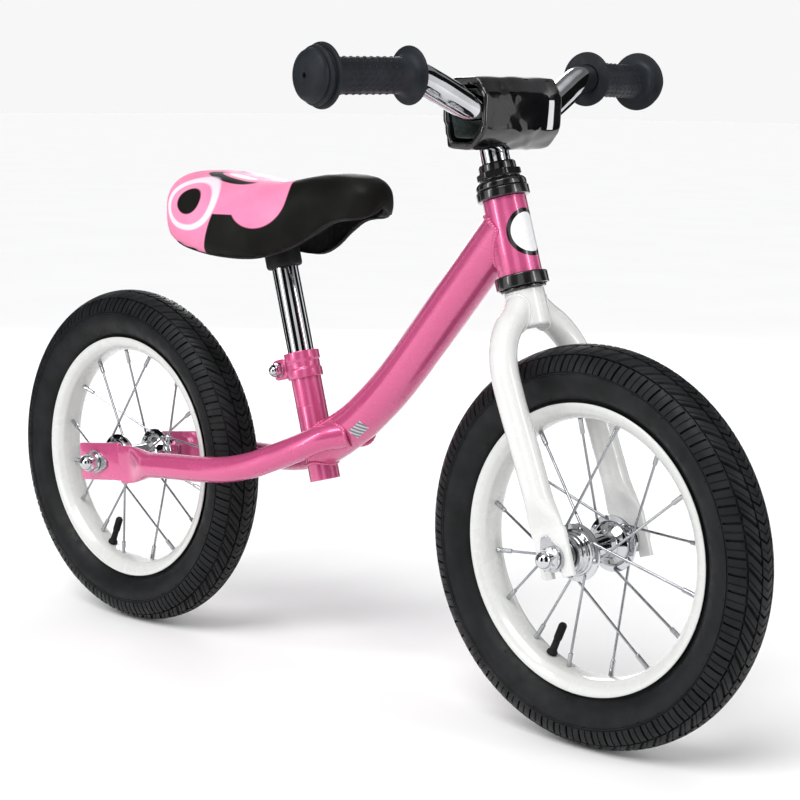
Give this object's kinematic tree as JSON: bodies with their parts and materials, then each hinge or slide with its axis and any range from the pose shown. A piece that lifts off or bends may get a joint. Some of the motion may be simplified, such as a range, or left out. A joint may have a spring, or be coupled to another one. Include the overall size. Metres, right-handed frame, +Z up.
{
  "type": "balance bike",
  "caption": "Child's pedal-less balance bike: steel frame and rigid fork, spoked pneumatic wheels, padded rise handlebar, adjustable saddle.",
  "frame": {"origin": "on the ground midway between the two axles, in the bike's middle plane", "axes": "+X forward towards the front wheel, +Y to the rider's left, +Z up"},
  "size_m": [0.822, 0.3882, 0.5117],
  "materials": {
    "frame_paint": "gloss",
    "fork_paint": "gloss",
    "rim_paint": "gloss",
    "black_paint": "gloss",
    "chrome": "polished",
    "steel": "satin zinc plate",
    "tyre_rubber": "satin",
    "tube_rubber": "matte",
    "grip_rubber": "matte",
    "pad_vinyl": "gloss",
    "saddle_plastic": "textured",
    "saddle_cover": "satin"
  },
  "bodies": {
    "frame": {"head_tube": "frame_paint", "headset_cup_upper": "black_paint", "headset_cup_lower": "black_paint", "main_tube": "frame_paint", "stay_right": "frame_paint", "stay_left": "frame_paint", "seat_tube": "frame_paint", "seat_collar": "frame_paint", "collar_bolt": "steel", "collar_nut": "chrome", "rear_axle": "steel", "rear_cone_right": "steel", "rear_cone_left": "steel", "rear_washer_right": "steel", "rear_washer_left": "steel", "rear_nut_right": "chrome", "rear_nut_left": "chrome"},
    "rear_wheel": {"rear_tyre": "tyre_rubber", "rear_inner_tube": "tube_rubber", "rear_rim": "rim_paint", "rear_hub_shell": "chrome", "rear_spokes_right": "chrome", "rear_spokes_left": "chrome", "rear_valve": "tube_rubber"},
    "fork": {"fork_crown": "fork_paint", "fork_leg_right": "fork_paint", "fork_leg_left": "fork_paint", "headset_race_lower": "black_paint", "headset_bearing_lower": "steel", "headset_bearing_upper": "steel", "headset_cone_upper": "black_paint", "headset_washer": "black_paint", "headset_locknut": "black_paint", "front_axle": "steel", "front_cone_right": "steel", "front_cone_left": "steel", "front_washer_right": "steel", "front_washer_left": "steel", "front_nut_right": "chrome", "front_nut_left": "chrome"},
    "front_wheel": {"front_tyre": "tyre_rubber", "front_inner_tube": "tube_rubber", "front_rim": "rim_paint", "front_hub_shell": "chrome", "front_spokes_right": "chrome", "front_spokes_left": "chrome", "front_valve": "tube_rubber"},
    "handlebar": {"stem": "chrome", "stem_wedge": "steel", "stem_bolt": "steel", "bar_clamp_bolt": "steel", "handlebar": "chrome", "grip_right": "grip_rubber", "grip_left": "grip_rubber", "bar_pad": "pad_vinyl"},
    "seat": {"seat_post": "chrome", "saddle_base": "saddle_plastic", "saddle_cushion": "saddle_cover"}
  },
  "joints": [
    {"name": "steering", "type": "hinge", "parent": "frame", "child": "fork", "pos_m": [0.1851, 0, 0.3452], "axis": [-0.3007, 0, 0.9537], "range_deg": [-70, 70]},
    {"name": "rear_wheel_spin", "type": "hinge", "parent": "frame", "child": "rear_wheel", "pos_m": [-0.261, 0, 0.15], "axis": [0, 1, 0], "continuous": true},
    {"name": "front_wheel_spin", "type": "hinge", "parent": "fork", "child": "front_wheel", "pos_m": [0.261, 0, 0.15], "axis": [0, 1, 0], "continuous": true},
    {"name": "bar_height", "type": "slide", "parent": "fork", "child": "handlebar", "axis": [-0.3007, 0, 0.9537], "range_m": [-0.004, 0.03]},
    {"name": "seat_height", "type": "slide", "parent": "frame", "child": "seat", "axis": [-0.2756, 0, 0.9613], "range_m": [-0.045, 0.02]}
  ]
}
